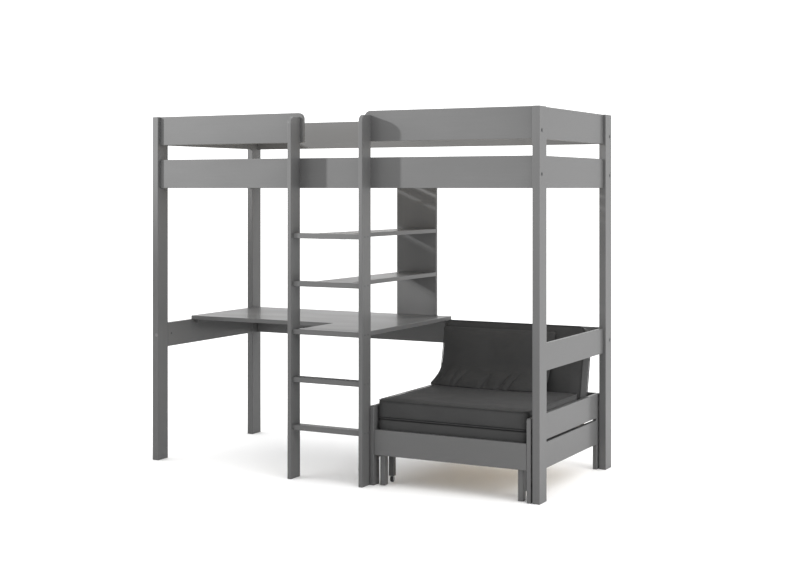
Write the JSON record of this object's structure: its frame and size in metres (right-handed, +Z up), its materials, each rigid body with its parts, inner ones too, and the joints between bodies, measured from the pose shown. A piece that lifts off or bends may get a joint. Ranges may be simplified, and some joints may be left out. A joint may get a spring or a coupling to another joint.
{
  "type": "loft bed with desk",
  "caption": "Lacquered wood loft bed on tall posts, with guard rails, a middle ladder, an L-shaped desk, a bookcase and a low pull-out chair bed underneath.",
  "frame": {"origin": "on the floor, under the middle of the whole bounding box, ladder included", "axes": "+X along the bed from the desk end to the chair end, -Y towards the ladder side, +Z up"},
  "size_m": [2.08, 1.062, 1.746],
  "materials": {
    "grey_lacquer": "satin opaque lacquer",
    "slat_wood": "planed pine, unfinished",
    "dowel_wood": "turned beech, unfinished",
    "webbing": "woven tape",
    "black_steel": "black-plated, satin",
    "zinc_steel": "zinc-plated",
    "grey_plastic": "moulded, matt",
    "castor_plastic": "moulded nylon, matt",
    "cushion_fabric": "smooth tight-woven cover"
  },
  "bodies": {
    "bed_frame": {"post_front_left": "grey_lacquer", "post_front_right": "grey_lacquer", "post_back_left": "grey_lacquer", "post_back_right": "grey_lacquer", "rail_front": "grey_lacquer", "rail_back": "grey_lacquer", "rail_left": "grey_lacquer", "rail_right": "grey_lacquer", "guard_front_left": "grey_lacquer", "guard_front_right": "grey_lacquer", "guard_back": "grey_lacquer", "guard_left": "grey_lacquer", "guard_right": "grey_lacquer", "arm_rail_right": "grey_lacquer", "desk_rail_left": "grey_lacquer", "desk_rail_back": "grey_lacquer", "ladder_upright_left": "grey_lacquer", "ladder_upright_right": "grey_lacquer", "rung_1": "grey_lacquer", "rung_2": "grey_lacquer", "rung_3": "grey_lacquer", "rung_4": "grey_lacquer", "rung_5": "grey_lacquer", "desk_top": "grey_lacquer", "desk_cleats": "grey_lacquer", "bookcase_panel": "grey_lacquer", "shelf_lower": "grey_lacquer", "shelf_upper": "grey_lacquer", "slat_ledges": "grey_lacquer", "chair_front_posts": "grey_lacquer", "chair_back_posts": "grey_lacquer", "chair_boards_left": "grey_lacquer", "chair_boards_right": "grey_lacquer", "chair_board_back": "grey_lacquer", "chair_ledges": "grey_lacquer", "chair_bearers": "grey_lacquer", "backrest_rack": "grey_lacquer", "bed_slats": "slat_wood", "chair_fixed_slats": "slat_wood", "wood_dowels": "dowel_wood", "slat_webs": "webbing", "frame_bolts": "black_steel", "barrel_nuts": "zinc_steel", "wood_screws": "zinc_steel", "shelf_brackets": "zinc_steel", "bolt_plugs": "grey_plastic", "seat_pad_lower": "cushion_fabric", "seat_pad_upper": "cushion_fabric", "back_cushion": "cushion_fabric"},
    "pullout": {"pullout_apron": "grey_lacquer", "pullout_legs": "grey_lacquer", "castor_blocks": "grey_lacquer", "pullout_ledge": "grey_lacquer", "pullout_tie_bar": "slat_wood", "pullout_slats": "slat_wood", "castor_forks": "zinc_steel", "castor_axles": "zinc_steel"},
    "left_castor": {"castor_wheel_left": "castor_plastic"},
    "right_castor": {"castor_wheel_right": "castor_plastic"},
    "loose_pillow": {"pillow": "cushion_fabric"}
  },
  "joints": [
    {"name": "pullout_slide", "type": "slide", "parent": "bed_frame", "child": "pullout", "axis": [0, -1, 0], "range_m": [0, 0.68]},
    {"name": "left_castor_roll", "type": "hinge", "parent": "pullout", "child": "left_castor", "pos_m": [0.2605, -0.337, 0.014], "axis": [1, 0, 0], "range_deg": [0, 2790]},
    {"name": "right_castor_roll", "type": "hinge", "parent": "pullout", "child": "right_castor", "pos_m": [0.9425, -0.337, 0.014], "axis": [1, 0, 0], "range_deg": [0, 2790]},
    {"name": "pillow_lift", "type": "slide", "parent": "bed_frame", "child": "loose_pillow", "axis": [0, 0, 1], "range_m": [0, 0.25]}
  ],
  "couplings": [
    {"joint": "left_castor_roll", "follows": "pullout_slide", "rad_per_m": 71.429},
    {"joint": "right_castor_roll", "follows": "pullout_slide", "rad_per_m": 71.429}
  ]
}
